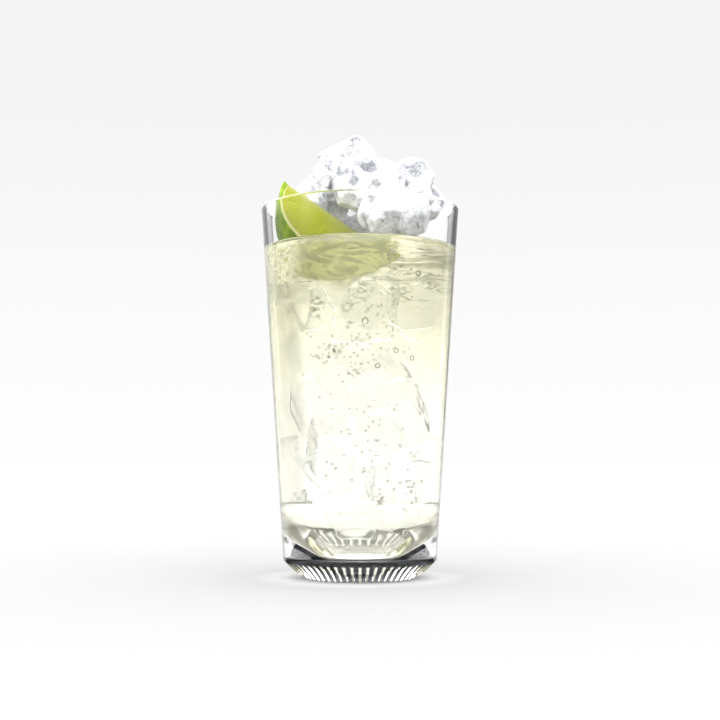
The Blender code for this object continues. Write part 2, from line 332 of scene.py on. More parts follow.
OUTLINE_STEP = 1.3 * MM
PLAIN_WALL = (30 * MM, 142 * MM)
PLAIN_WALL_KEEPS = 8
FLUTES = 60
STEPS_PER_FLUTE = 9
FLUTE_DEPTH = 0.45 * MM
FLUTE_BAND = (0.9 * MM, 2.0 * MM, 4.8 * MM, 5.8 * MM)
CLEAR = (0.992, 0.996, 0.996, 1)
SHADED = (0.004, 0.0045, 0.006, 1)
EDGE_PAINTED_SHADE = (0.14, 0.15, 0.17, 1)
EDGE_FACING = (0.55, 0.95)
RIDGE_WIDTH = (0.26, 0.42)
RIDGE_TOP = (6.1 * MM, 5.6 * MM)
SHADE_TOP = (8.5 * MM, 7.9 * MM)
SHADE_RIM = 1.5 * MM
SMUDGE = 0.015


def outer_radius(height):
    """The outer wall is a straight line from the heel to the rim."""
    return HEEL_RADIUS + (RIM_RADIUS - HEEL_RADIUS) * (height - HEEL_HEIGHT) / (GLASS_HEIGHT - HEEL_HEIGHT)


def inner_radius(height):
    """The wall thins evenly from its low end to the lip."""
    share = height / GLASS_HEIGHT
    return outer_radius(height) - LOW_WALL_THICKNESS + (LOW_WALL_THICKNESS - LIP_THICKNESS) * share


def cone_top():
    """The radius and height where the cone round the floor would meet the straight wall."""
    height = CAVITY_FLOOR
    for _ in range(20):
        height = CAVITY_FLOOR + (inner_radius(height) - FLOOR_RADIUS) * CONE_SLOPE
    return inner_radius(height), height


def outline(corners, arc_steps=12):
    """Corners are (radius, height, rounding). A rounding of 0 keeps the corner; any other puts an arc of that
    radius there, tangent to both sides."""
    points = []
    for i, (x, z, rounding) in enumerate(corners):
        corner = np.array([x, z])
        if rounding == 0:
            points.append(corner[None])
            continue
        before = np.array(corners[i - 1][:2]) - corner
        after = np.array(corners[i + 1][:2]) - corner
        before /= np.linalg.norm(before)
        after /= np.linalg.norm(after)
        half_angle = math.acos(np.clip(before @ after, -1, 1)) / 2
        middle = (before + after) / np.linalg.norm(before + after)
        centre = corner + middle * rounding / math.sin(half_angle)
        start = corner + before * rounding / math.tan(half_angle) - centre
        end = corner + after * rounding / math.tan(half_angle) - centre
        share = np.linspace(0, 1, arc_steps + 1)[:, None]
        sweep = math.pi - 2 * half_angle
        arc = (np.sin((1 - share) * sweep) * start + np.sin(share * sweep) * end) / math.sin(sweep)
        points.append(centre + arc)
    return np.concatenate(points)


def refine(profile, spacing):
    """Splits the long straight stretches of an outline into pieces of about one spacing."""
    pieces = []
    for a, b in zip(profile, profile[1:]):
        count = max(1, int(np.ceil(np.linalg.norm(b - a) / spacing)))
        pieces.append(a + (b - a) * np.arange(count)[:, None] / count)
    return np.concatenate(pieces + [profile[-1:]])


def turned(profile, steps):
    """Each (radius, height) of the outline becomes a ring of points round the Z axis."""
    angle = np.linspace(0, math.tau, steps, endpoint=False)
    radius, height = profile[:, :1], profile[:, 1:]
    return np.stack([radius * np.cos(angle), radius * np.sin(angle), height + 0 * angle], 2)


def skin_grid(points, closed_rows=False):
    """Faces over a grid of points (rows, columns, 3) whose columns join up into rings. The first and the last
    row are poles, each one point, unless closed_rows joins them up too. Rows that rise along an outer wall
    face outwards."""
    rows, columns = points.shape[:2]
    index = np.arange(rows * columns).reshape(rows, columns)
    if closed_rows:
        low, high = index, np.roll(index, -1, 0)
        tris = np.zeros((0, 3), int)
    else:
        low, high = index[1:-2], index[2:-1]
        first, last = index[1], index[-2]
        tris = np.concatenate([
            np.stack([np.full(columns, index[0, 0]), np.roll(first, -1), first], 1),
            np.stack([last, np.roll(last, -1), np.full(columns, index[-1, 0])], 1),
        ])
    quads = np.stack([low, np.roll(low, -1, 1), np.roll(high, -1, 1), high], 2).reshape(-1, 4)
    used = np.unique(np.concatenate([quads.ravel(), tris.ravel()]))
    renumber = np.zeros(rows * columns, int)
    renumber[used] = np.arange(len(used))
    return points.reshape(-1, 3)[used], renumber[quads], renumber[tris]


def mesh_piece(name, parts):
    """One smooth object at the origin from a list of (points, quads, triangles)."""
    starts = np.cumsum([0] + [len(part[0]) for part in parts])
    points = np.concatenate([part[0] for part in parts])
    quads = np.concatenate([part[1] + start for part, start in zip(parts, starts)])
    tris = np.concatenate([part[2] + start for part, start in zip(parts, starts)])
    mesh = bpy.data.meshes.new(name)
    mesh.vertices.add(len(points))
    mesh.vertices.foreach_set("co", points.astype(np.float32).ravel())
    corners = np.concatenate([quads.ravel(), tris.ravel()])
    mesh.loops.add(len(corners))
    mesh.loops.foreach_set("vertex_index", corners.astype(np.int32))
    sizes = np.concatenate([np.full(len(quads), 4), np.full(len(tris), 3)])
    mesh.polygons.add(len(sizes))
    mesh.polygons.foreach_set("loop_start", (np.cumsum(sizes) - sizes).astype(np.int32))
    mesh.update(calc_edges=True)
    mesh.shade_smooth()
    piece = bpy.data.objects.new(name, mesh)
    scene.collection.objects.link(piece)
    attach(piece, "root")
    return piece


def flute(points):
    """Hollows the slanted band: scoops side by side, deepest in their middles, with sharp ridges between."""
    angle = np.arctan2(points[..., 1], points[..., 0])
    across = (angle / math.tau * FLUTES) % 1
    outside = np.hypot(points[..., 0], points[..., 1]) > PUNT_RADIUS + 3 * MM
    band = np.interp(points[..., 2], FLUTE_BAND, (0, 1, 1, 0)) * outside
    depth = FLUTE_DEPTH * 4 * across * (1 - across) * band * (points[..., 2] < HEEL_HEIGHT)
    slope = math.atan2(HEEL_HEIGHT, HEEL_RADIUS - FOOT_RADIUS)
    inward = np.stack([-np.cos(angle) * math.sin(slope), -np.sin(angle) * math.sin(slope),
                       np.full(angle.shape, math.cos(slope))], -1)
    return points + inward * depth[..., None]


glass_profile = refine(
    outline([
        (0, PUNT_DEPTH, 0),
        (*PUNT_BEND, PUNT_ROUND),
        (PUNT_RADIUS, 0, FOOT_RING_ROUND),
        (FOOT_RADIUS, 0, FOOT_ROUND),
        (HEEL_RADIUS, HEEL_HEIGHT, HEEL_ROUND),
        (RIM_RADIUS, GLASS_HEIGHT, LIP_ROUND),
        (inner_radius(GLASS_HEIGHT), GLASS_HEIGHT, LIP_ROUND),
        (*cone_top(), CONE_ROUND),
        (FLOOR_RADIUS, CAVITY_FLOOR, FLOOR_ROUND),
        (0, CAVITY_FLOOR, 0),
    ]),
    OUTLINE_STEP,
)
straight = (glass_profile[:, 1] > PLAIN_WALL[0]) & (glass_profile[:, 1] < PLAIN_WALL[1])
kept = np.arange(len(glass_profile)) % PLAIN_WALL_KEEPS == 0
glass_profile = glass_profile[~straight | kept]
glass = mesh_piece("tumbler", [skin_grid(flute(turned(glass_profile, FLUTES * STEPS_PER_FLUTE)))])
glass_finish = bpy.data.materials.new("clear_glass")
tree = Tree(glass_finish)
place = tree.add("ShaderNodeTexCoord")["Object"]
ripple = tree.add("ShaderNodeTexNoise", None, {"Vector": place, "Scale": 28.0, "Detail": 2.0})
smudge = tree.add("ShaderNodeTexNoise", None, {"Vector": place, "Scale": 90.0, "Detail": 4.0})
relief = tree.add("ShaderNodeBump", None, {"Strength": 0.1, "Distance": 0.0005, "Height": ripple})
split = tree.add("ShaderNodeSeparateXYZ", None, {"Vector": place})
around = split["X"].math("ARCTAN2", split["Y"], split["X"]) / math.tau
across = around.math("FRACT", around * FLUTES + FLUTES)
ridge = tree.ease(across.math("ABSOLUTE", across - 0.5), *RIDGE_WIDTH) * tree.ease(split["Z"], *RIDGE_TOP)
out_from_axis = split["X"].math("SQRT", split["X"] * split["X"] + split["Y"] * split["Y"])
# Painted shade: the foot and the slanted band, except the ridges between the flutes, are painted near-black.
low = tree.ease(split["Z"], *SHADE_TOP) * tree.ease(out_from_axis, FOOT_RADIUS - SHADE_RIM, FOOT_RADIUS)
# Painted shade: the wall turns grey where it is seen edge-on, standing in for the dark lines at a glass's
# edges.
edge_shade_share = tree.ease(tree.add("ShaderNodeLayerWeight", None, {"Blend": 0.5})["Facing"], *EDGE_FACING)
skin = tree.add("ShaderNodeBsdfPrincipled", None, {
    "Base Color": tree.blend(low * (1 - ridge), tree.blend(edge_shade_share, CLEAR, EDGE_PAINTED_SHADE), SHADED),
    "Roughness": smudge * SMUDGE,
    "Transmission Weight": 1.0,
    "IOR": 1.5,
    "Normal": relief,
})
tree.add("ShaderNodeOutputMaterial", None, {"Surface": skin})
glass.data.materials.append(glass_finish)
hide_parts("glass")

# The drink: spirit and cloudy ginger beer with lime, pale yellow, filling the glass to a finger below the
# rim. It wets the wall, so its edge climbs a little, and it reaches just into the wall so that no air gap
# shows. It is yellower near its surface and paler lower down.
DRINK_LEVEL = 128.2 * MM
MENISCUS_RISE = 0.8 * MM
MENISCUS_REACH = 2.2 * MM
WALL_BITE = 0.25 * MM
TURN_STEPS = 256
DRINK_OUTLINE_STEP = 3 * MM
DRINK_CLEAR = 0.83
DRINK_TONES = [(0.0, (0.98, 0.967, 0.87)), (0.5, (0.965, 0.945, 0.80)), (1.0, (0.95, 0.925, 0.70))]
TONE_HEIGHTS = (30 * MM, 115 * MM)
SURFACE_HEIGHTS = (127.9 * MM, 128.1 * MM)
CLOUD_TURN = 0.17
CLOUD_HALF_WIDTH = 0.6
CLOUD_DEPTH = 18.0
CLOUD_EDGE = (1.25, 0.5)
CLOUD_RAGGED_ACROSS = 0.5
CLOUD_RAGGED_DOWN = 14


def drink_profile():
    """The glass's inner outline, moved into the wall, then the climbing edge and the level surface."""
    edge_height = DRINK_LEVEL + MENISCUS_RISE
    wall = outline([
        (0, CAVITY_FLOOR - WALL_BITE, 0),
        (FLOOR_RADIUS, CAVITY_FLOOR - WALL_BITE, FLOOR_ROUND),
        (cone_top()[0] + WALL_BITE, cone_top()[1] - WALL_BITE, CONE_ROUND),
        (inner_radius(edge_height) + WALL_BITE, edge_height, 0),
    ])
    inward = np.linspace(0, 1, 16)[:, None]
    edge = wall[-1, 0] - WALL_BITE - inward * MENISCUS_REACH
    climb = DRINK_LEVEL + MENISCUS_RISE * (1 - inward) ** 2.5
    return refine(np.concatenate([wall, np.hstack([edge, climb]), [[0, DRINK_LEVEL]]]), DRINK_OUTLINE_STEP)


def cloud_of_juice(tree, place):
    """Where lime juice clouds the drink, in front of the wedge: 0 to 1, ragged at its edges. Returns it with
    the turn from the front in radians, the depth under the surface in millimetres and the raggedness."""
    split = tree.add("ShaderNodeSeparateXYZ", None, {"Vector": place})
    turn = split["X"].math("ARCTAN2", split["X"], 0 - split["Y"])
    depth = (DRINK_LEVEL - split["Z"]) / MM
    ragged = tree.add("ShaderNodeTexNoise", None, {
        "Vector": place, "Scale": 90.0, "Detail": 4.0, "Distortion": 1.5,
    }) - 0.5
    across = (turn + CLOUD_TURN + ragged * CLOUD_RAGGED_ACROSS) / CLOUD_HALF_WIDTH
    down = (depth + ragged * CLOUD_RAGGED_DOWN) / CLOUD_DEPTH
    return tree.ease(across * across + down * down, *CLOUD_EDGE), turn, depth, ragged


drink = mesh_piece("drink_liquid", [skin_grid(turned(drink_profile(), TURN_STEPS))])
drink_finish = bpy.data.materials.new("cloudy_ginger_drink")
tree = Tree(drink_finish)
place = tree.add("ShaderNodeTexCoord")["Object"]
height = tree.add("ShaderNodeSeparateXYZ", None, {"Vector": place})["Z"]
clouds = tree.add("ShaderNodeTexNoise", None, {
    "Vector": place, "Scale": 35.0, "Detail": 4.0, "Distortion": 0.6,
})
tone = tree.add(
    "ShaderNodeValToRGB",
    {"stops": DRINK_TONES},
    {"Fac": tree.ease(height, *TONE_HEIGHTS) + (clouds - 0.5) * 0.7},
)
waves = tree.add("ShaderNodeTexNoise", None, {
    "Vector": place, "Scale": 120.0, "Detail": 2.0, "Distortion": 1.0,
})
near_surface = tree.ease(height, *SURFACE_HEIGHTS)
relief = tree.add("ShaderNodeBump", None, {
    "Strength": 0.5, "Distance": 0.0012, "Height": waves * (near_surface + 0.06),
})
skin = tree.add("ShaderNodeBsdfPrincipled", None, {
    "Base Color": tone["Color"],
    "Roughness": clouds * 0.02 + cloud_of_juice(tree, place)[0] * 0.14 + 0.015,
    "Transmission Weight": DRINK_CLEAR,
    "IOR": 1.33,
    "Normal": relief,
})
tree.add("ShaderNodeOutputMaterial", None, {"Surface": skin})
drink.data.materials.append(drink_finish)
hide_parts("drink")

# The cracked ice above the drink: loose wet lumps, heaped up past the rim, each broken by flat cracks whose
# edges have melted round, with small splinters frozen to them. LUMPS gives each one's middle and size in
# millimetres, the same as the solid's.
FACETS = 15
FACET_DISTANCE = (0.76, 0.98)
FACET_SCATTER = 0.16
GOLDEN_ANGLE = math.pi * (3 - math.sqrt(5))
FARTHEST_CORNER = 1.07
UNEVEN = 0.08
SIZE_SEED = 7
FIRST_SEED = 100
CHIPPED_FACETS = 14
CHIP_TILT = 0.42
CHIP_BITE = (0.90, 0.98)
DEEPEST_CHIP = 0.6
EDGE_SHARPNESS = 70
LUMP_ROWS, LUMP_COLUMNS = 66, 132
LUMPS = {
    "peak": (-4.0, 0, 163.0, 11.2),
    "peak_left": (-8.5, 2, 156.5, 10.5),
    "left_shoulder": (-18.5, 5, 150.5, 10.5),
    "slope": (6.0, 1, 159.0, 11.5),
    "slope_right": (13.0, 3, 156.0, 10.0),
    "right": (21.0, 1, 155.5, 11.3),
    "right_low": (25.8, 2, 148.5, 9.8),
    "front": (-1.0, -12, 151.5, 9.5),
    "front_right": (10.0, -13, 150.0, 10.0),
    "front_far_right": (20.0, -11, 147.0, 9.5),
    "front_low": (8.5, -19.5, 139.5, 9.0),
    "front_right_low": (20.0, -17, 138.5, 8.5),
    "back_left": (-14.0, 14, 149.5, 10.5),
    "back": (-2.0, 14, 154.0, 11.0),
    "back_right": (10.0, 14, 150.5, 10.5),
    "back_far_right": (20.0, 14, 146.5, 10.0),
    "low_back_left": (-17.0, 21, 139.5, 9.0),
    "low_back": (-5.0, 25, 141.0, 9.0),
    "low_back_right": (8.0, 25, 140.5, 9.0),
    "low_right": (18.5, 20.5, 138.5, 8.5),
}
UPPER_LUMPS = 10
ICE_CHIPS = 110
CHIP_SIZE = (1.6 * MM, 3.6 * MM)
CHIP_STRETCH = (0.6, 1.15)
CHIP_SUNK = 0.75
CHIP_TRIES = 24
CHIP_CLEARANCE = 1.2 * MM
CHIP_ROWS, CHIP_COLUMNS = 16, 28
CHIP_SEED = 11
HEAP_MIDDLE = np.array([3, 2, 141]) * MM
SPLINTER_FACETS = 9
SPLINTER_FACET_DISTANCE = (0.45, 0.95)
ICE_TOP = 174.3 * MM
ICE_FOOT = DRINK_LEVEL - 0.5 * MM
ICE_IOR = 1.31
WET_CRACKS = ((130.0, 0.017), (280.0, 0.036), (560.0, 0.050))
CRACK_BREAKS = (0.41, 0.52)
CRACK_COLOURS = ((0.02, 0.03, 0.06, 1), (0.08, 0.10, 0.14, 1))
ICE_COLOURS = ((0.97, 0.98, 1.0, 1), (1.0, 1.0, 1.0, 1))
FROST_EDGE = (0.42, 0.56)
LOW_ICE = (156 * MM, 142 * MM)
LOW_FROST_PAINTED_LIGHT = 0.15
LOW_CRACKS_LOST_PAINTED_LIGHT = 0.4


def value_noise(points, size, seed):
    """Smooth noise in -1 to 1: random levels at the corners of cubes of one size, eased between them."""
    cell = np.floor(points / size).astype(np.int64)
    part = points / size - cell
    part = part * part * (3 - 2 * part)
    total = np.zeros(points.shape[:-1])
    for corner in np.ndindex(2, 2, 2):
        at = cell + corner
        code = at[..., 0] * 73856093 ^ at[..., 1] * 19349663 ^ at[..., 2] * 83492791 ^ seed * 2654435761
        code = (code ^ (code >> 13)) * 1274126177 & 0x7FFFFFFF
        level = (code ^ (code >> 16)) % 65536 / 32767.5 - 1
        total += np.prod(np.where(np.array(corner) == 1, part, 1 - part), -1) * level
    return total


def ball_directions(rows, columns):
    """Unit directions from the bottom pole to the top one, ring by ring."""
    up = np.linspace(0, math.pi, rows)[:, None]
    around = np.linspace(0, math.tau, columns, endpoint=False)
    ring = np.sin(up)
    return np.stack([ring * np.cos(around), ring * np.sin(around), -np.cos(up) + 0 * around], 2)


def even_directions(draw, count, scatter):
    """Directions spread evenly over a ball by the golden angle, each moved a little at random."""
    index = np.arange(count) + 0.5
    height = 1 - 2 * index / count
    angle = index * GOLDEN_ANGLE + draw.uniform(0, math.tau)
    ring = np.sqrt(1 - height**2)
    out = np.stack([ring * np.cos(angle), ring * np.sin(angle), height], 1)
    out += draw.normal(0, scatter, out.shape)
    return out / np.linalg.norm(out, axis=1)[:, None]


def reach(out, normals, distances, sharpness):
    """How far a lump reaches in each direction: the nearest of its facet planes and of an outer ball, by a
    soft minimum that rounds the edges where facets meet."""
    facing = np.maximum(out @ normals.T, 1e-4) / distances
    nearness = np.concatenate([facing, np.full((*facing.shape[:-1], 1), 1 / FARTHEST_CORNER)], -1)
    return (nearness**sharpness).sum(-1) ** (-1 / sharpness)


def splinter(seed, rows, columns):
    """A small sharp piece with only a few facets, some of them close to its middle."""
    draw = np.random.default_rng(seed)
    normals = even_directions(draw, SPLINTER_FACETS, 3 * FACET_SCATTER)
    distances = draw.uniform(*SPLINTER_FACET_DISTANCE, SPLINTER_FACETS)
    out = ball_directions(rows, columns)
    return out * reach(out, normals, distances, EDGE_SHARPNESS)[..., None]


def cracked_lump(seed, rows, columns):
    """The large facets of one lump, then shallow chipped ones: planes that shave the surface near random
    points, each tilted a little away from the facet that it shaves."""
    draw = np.random.default_rng(seed)
    normals = even_directions(draw, FACETS, FACET_SCATTER)
    distances = draw.uniform(*FACET_DISTANCE, FACETS)
    spots = even_directions(draw, CHIPPED_FACETS, FACET_SCATTER)
    nearest = np.argmax(spots @ normals.T / distances, 1)
    tilted = normals[nearest] + draw.normal(0, CHIP_TILT, spots.shape)
    tilted /= np.linalg.norm(tilted, axis=1)[:, None]
    spots *= reach(spots, normals, distances, EDGE_SHARPNESS)[:, None]
    shaved = (spots * tilted).sum(1) * draw.uniform(*CHIP_BITE, CHIPPED_FACETS)
    keep = shaved > DEEPEST_CHIP
    out = ball_directions(rows, columns)
    normals = np.concatenate([normals, tilted[keep]])
    distances = np.concatenate([distances, shaved[keep]])
    return out * reach(out, normals, distances, EDGE_SHARPNESS)[..., None]


def placed_lump(shape, radii, turn_angle, centre, seed):
    """Stretches a lump, turns it about Z, roughens it with fine noise and sets it down. What would be under
    the surface of the drink is pressed flat just below it."""
    swing = np.array(Matrix.Rotation(turn_angle, 3, "Z"))
    points = shape * radii @ swing.T
    outward = points / np.linalg.norm(points, axis=-1)[..., None]
    points = points + centre
    swell = value_noise(points, 2.6 * MM, seed) * 0.06 * MM
    swell = swell + value_noise(points, 1.0 * MM, seed + 50) * 0.02 * MM
    points = points + outward * swell[..., None]
    below = (points[..., 2] - ICE_FOOT).clip(-4 * MM, 0)
    points[..., 2] = np.clip(points[..., 2], ICE_FOOT + 0.1 * below, ICE_TOP)
    return points


def heap_lumps():
    """The points of every lump, in place; no two are quite alike."""
    draw = np.random.default_rng(SIZE_SEED)
    for seed, (x, y, z, size) in enumerate(LUMPS.values(), FIRST_SEED):
        radii = size * MM * draw.uniform(1 - UNEVEN, 1 + UNEVEN, 3)
        turn_angle = draw.uniform(0, math.tau)
        shape = cracked_lump(seed, LUMP_ROWS, LUMP_COLUMNS)
        yield placed_lump(shape, radii, turn_angle, np.array([x, y, z]) * MM, seed)


def heap_chips(lumps):
    """Small splinters, each frozen to a point of a lump's skin that faces outwards from the heap."""
    draw = np.random.default_rng(CHIP_SEED)
    for i in range(ICE_CHIPS):
        lump = lumps[draw.integers(len(lumps))]
        spots = lump.reshape(-1, 3)[draw.integers(lump[..., 0].size, size=CHIP_TRIES)]
        apart = spots - HEAP_MIDDLE
        spot = spots[np.argmax(np.linalg.norm(apart * (1, 1, 0.9), axis=1))]
        size = draw.uniform(*CHIP_SIZE)
        radii = size * draw.uniform(*CHIP_STRETCH, 3)
        inward = (HEAP_MIDDLE - spot) / np.linalg.norm(HEAP_MIDDLE - spot)
        spot = spot + inward * size * CHIP_SUNK
        room_out = inner_radius(spot[2]) - CHIP_CLEARANCE if spot[2] < GLASS_HEIGHT else RIM_RADIUS
        if np.hypot(*spot[:2]) + size > room_out or spot[2] + size > ICE_TOP or spot[2] - size < DRINK_LEVEL:
            continue
        shape = splinter(FIRST_SEED * 4 + i, CHIP_ROWS, CHIP_COLUMNS)
        yield placed_lump(shape, radii, draw.uniform(0, math.tau), spot, FIRST_SEED * 4 + i)


def ice_finish(name, ior, clear, frost_share, crack_scales, crack_share, roughen):
    """Clear wet ice with frosty white patches and short hair-thin grey cracks."""
    made = bpy.data.materials.new(name)
    tree = Tree(made)
    place = tree.add("ShaderNodeTexCoord")["Object"]
    frost = tree.add("ShaderNodeTexNoise", None, {"Vector": place, "Scale": 150.0, "Detail": 4.0})
    lines = 0
    for scale, width in crack_scales:
        cracks = tree.add("ShaderNodeTexNoise", None, {
            "Vector": place, "Scale": scale, "Detail": 4.0, "Roughness": 0.6, "Distortion": 1.6,
        })
        breaks = tree.add("ShaderNodeTexNoise", None, {"Vector": place, "Scale": scale * 0.8, "Detail": 1.0})
        line = 1 - tree.ease(cracks.math("ABSOLUTE", cracks - 0.5), 0.0, width)
        line = line * tree.ease(breaks, *CRACK_BREAKS)
        lines = line.math("MAXIMUM", line, lines)
    grain = tree.add("ShaderNodeTexNoise", None, {"Vector": place, "Scale": 420.0, "Detail": 3.0})
    relief = tree.add("ShaderNodeBump", None, {
        "Strength": roughen, "Distance": 0.0003, "Height": grain - lines * 0.5,
    })
    colour = tree.blend(frost, *ICE_COLOURS)
    wet = tree.add("ShaderNodeBsdfPrincipled", None, {
        "Base Color": colour,
        "Roughness": 0.02 + frost * 0.05,
        "Transmission Weight": clear,
        "IOR": ior,
        "Normal": relief,
    })
    frosty = tree.add("ShaderNodeBsdfPrincipled", None, {
        "Base Color": colour,
        "Roughness": 0.3,
        "Transmission Weight": 0.1,
        "IOR": ior,
        "Normal": relief,
    })
    # Painted light: low in the heap the ice is frostier and loses some of its dark cracks, to lift the shade
    # that falls there.
    low = tree.ease(tree.add("ShaderNodeSeparateXYZ", None, {"Vector": place})["Z"], *LOW_ICE)
    share = tree.ease(frost + low * LOW_FROST_PAINTED_LIGHT, *FROST_EDGE) * frost_share
    both = tree.add("ShaderNodeMixShader", None, {0: share, 1: wet, 2: frosty})
    crack = tree.add("ShaderNodeBsdfPrincipled", None, {
        "Base Color": tree.blend(frost, *CRACK_COLOURS),
        "Roughness": 0.4,
    })
    crack_lines = lines * (1 - low * LOW_CRACKS_LOST_PAINTED_LIGHT) * crack_share
    cracked = tree.add("ShaderNodeMixShader", None, {0: crack_lines, 1: both, 2: crack})
    tree.add("ShaderNodeOutputMaterial", None, {"Surface": cracked})
    return made


lumps = list(heap_lumps())
wet_ice = ice_finish(
    "wet_ice", ICE_IOR, clear=0.8, frost_share=0.7,
    crack_scales=WET_CRACKS, crack_share=0.85, roughen=0.35,
)
upper = mesh_piece("ice_lumps_upper", [skin_grid(points) for points in lumps[:UPPER_LUMPS]])
lower = mesh_piece("ice_lumps_lower", [skin_grid(points) for points in lumps[UPPER_LUMPS:]])
chips = mesh_piece("ice_chips", [skin_grid(points) for points in heap_chips(lumps)])
for piece in (upper, lower, chips):
    piece.data.materials.append(wet_ice)
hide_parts("ice_heap")

# The ice under the surface: melted cubes, hardly seen in the drink but for their edges. SUNK_PIECES gives
# each one's middle and size in millimetres.
SUNK_PIECES = [
    (-16, -17, 103, 8.0), (2, -16, 105, 9.5), (17, -14, 104, 9.0), (-17, -14, 87, 8.5), (1, -17, 88, 8.0),
    (17, -13, 84, 9.5), (-1, 8, 104, 13.5), (2, 10, 78, 13.5), (-13, -9, 66, 11.0), (11, -9, 63, 12.0),
    (-2, 10, 52, 12.5), (-8, -10, 42, 11.0), (12, -3, 38, 11.0), (-2, -5, 22, 8.5), (8, 8, 22, 8.5),
]
SUNK_SEED = 31
SUNK_ROWS, SUNK_COLUMNS = 50, 100
SUNK_SQUARENESS = 7.0
SUNK_SHRINK = 0.84
SUNK_STRETCH = (0.85, 1.1)
SUNK_DENTS = (5 * MM, 0.5 * MM)
SUNK_IOR = 1.025
SUNK_CRACKS = ((45.0, 0.004),)


def cube_surface(rows, columns, squareness):
    """A ball swollen towards a cube: each direction is divided by its own power mean."""
    out = ball_directions(rows, columns)
    return out / (np.abs(out) ** squareness).sum(2)[..., None] ** (1 / squareness)


def sunk_pieces():
    """Melted cubes, each turned its own way and dented by broad noise."""
    draw = np.random.default_rng(SUNK_SEED)
    for seed, (x, y, z, size) in enumerate(SUNK_PIECES):
        radii = size * SUNK_SHRINK * MM * draw.uniform(*SUNK_STRETCH, 3)
        spin = np.array(Euler(draw.uniform(0, math.tau, 3)).to_matrix())
        points = cube_surface(SUNK_ROWS, SUNK_COLUMNS, SUNK_SQUARENESS) * radii @ spin.T
        outward = points / np.linalg.norm(points, axis=2)[..., None]
        points = points + outward * value_noise(points, SUNK_DENTS[0], seed)[..., None] * SUNK_DENTS[1]
        yield points + np.array([x, y, z]) * MM


sunk = mesh_piece("sunk_ice", [skin_grid(points) for points in sunk_pieces()])
sunk.data.materials.append(ice_finish(
    "sunk_ice", SUNK_IOR, clear=0.985, frost_share=0.02,
    crack_scales=SUNK_CRACKS, crack_share=0.3, roughen=0.05,
))

# The juice and froth at the waterline: pulp and lime juice that drift down from the wedge in a yellow-green
# cloud, white froth at the left of it, and thin dark currents where the syrup and the soda mix. They are
# painted on one thin ring just inside the wall.
VEIL_FOOT = 98 * MM
VEIL_TOP = DRINK_LEVEL - 0.3 * MM
VEIL_CLEARANCE = 0.7 * MM
VEIL_THICKNESS = 0.6 * MM
VEIL_ROWS = 40
JUICE_DARK = (0.40, 0.44, 0.09, 1)
JUICE_PALE = (0.88, 0.89, 0.36, 1)
FROTH = (0.94, 0.94, 0.84, 1)
CURRENTS = (0.08, 0.09, 0.05, 1)
FROTH_START = (-0.5, -0.85)
FROTH_END = (-2.9, -2.2)
FROTH_DEPTH = (28.0, 5.0)
FROTH_RAGGED = 26
FROTH_GRAIN = (0.32, 0.6)
SKIM_DEPTH = (2.6, 0.4)
SKIM_RAGGED = 5
CURRENT_WIDTH = 0.028
CURRENT_BREAKS = (0.44, 0.56)
CURRENT_TOP = (1.0, 5.0)
CURRENT_FOOT = (26.0, 12.0)
CURRENT_COVER = 0.6
SKIM_COVER = 0.45
JUICE_COVER = 0.7
FROTH_PAINTED_LIGHT = 0.3
VEIL_ROUGHNESS = 0.6

veil_height = np.linspace(VEIL_FOOT, VEIL_TOP, VEIL_ROWS)
veil_outside = inner_radius(veil_height) - VEIL_CLEARANCE
veil_loop = np.concatenate([
    np.stack([veil_outside, veil_height], 1),
    np.stack([veil_outside - VEIL_THICKNESS, veil_height], 1)[::-1],
])
veil = mesh_piece("juice_and_froth", [skin_grid(turned(veil_loop, TURN_STEPS), closed_rows=True)])
veil_finish = bpy.data.materials.new("juice_and_froth")
tree = Tree(veil_finish)
place = tree.add("ShaderNodeTexCoord")["Object"]
cloud, turn, depth, drift = cloud_of_juice(tree, place)
left = tree.ease(turn, *FROTH_START) * tree.ease(turn, *FROTH_END)
grain = tree.add("ShaderNodeTexNoise", None, {
    "Vector": place, "Scale": 260.0, "Detail": 4.0, "Distortion": 2.0,
})
foam = tree.ease(depth + drift * FROTH_RAGGED, *FROTH_DEPTH) * left * tree.ease(grain, *FROTH_GRAIN)
skim = tree.ease(depth + drift * SKIM_RAGGED, *SKIM_DEPTH)
flat = tree.add("ShaderNodeVectorMath", {"operation": "MULTIPLY"}, {0: place, 1: (1.0, 1.0, 3.2)})
swirl = tree.add("ShaderNodeTexNoise", None, {
    "Vector": flat, "Scale": 60.0, "Detail": 3.0, "Distortion": 2.5,
})
breaks = tree.add("ShaderNodeTexNoise", None, {"Vector": place, "Scale": 110.0, "Detail": 1.0})
current = 1 - tree.ease(swirl.math("ABSOLUTE", swirl - 0.5), 0.0, CURRENT_WIDTH)
current = current * tree.ease(breaks, *CURRENT_BREAKS)
current = current * tree.ease(depth, *CURRENT_TOP) * tree.ease(depth, *CURRENT_FOOT)
juice = tree.blend(tree.ease(swirl, 0.40, 0.60), JUICE_DARK, JUICE_PALE)
colour = tree.blend(left.math("MAXIMUM", left, skim * 0.5), juice, FROTH)
colour = tree.blend(current, colour, CURRENTS)
cover = cloud * (JUICE_COVER + drift * 1.2)
cover = cover.math("MAXIMUM", cover, foam)
cover = cover.math("MAXIMUM", cover, skim * SKIM_COVER)
cover = cover.math("MAXIMUM", cover, current * CURRENT_COVER)
skin = tree.add("ShaderNodeBsdfPrincipled", None, {
    "Base Color": colour,
    "Roughness": VEIL_ROUGHNESS,
    "Specular IOR Level": 0.0,
    # The froth glows a little: a painted light that makes up for the light it lacks inside the drink.
    "Emission Color": tree.blend(left, (0, 0, 0, 1), FROTH),
    "Emission Strength": FROTH_PAINTED_LIGHT,
    "Alpha": cover,
})
tree.add("ShaderNodeOutputMaterial", None, {"Surface": skin})
veil.data.materials.append(veil_finish)

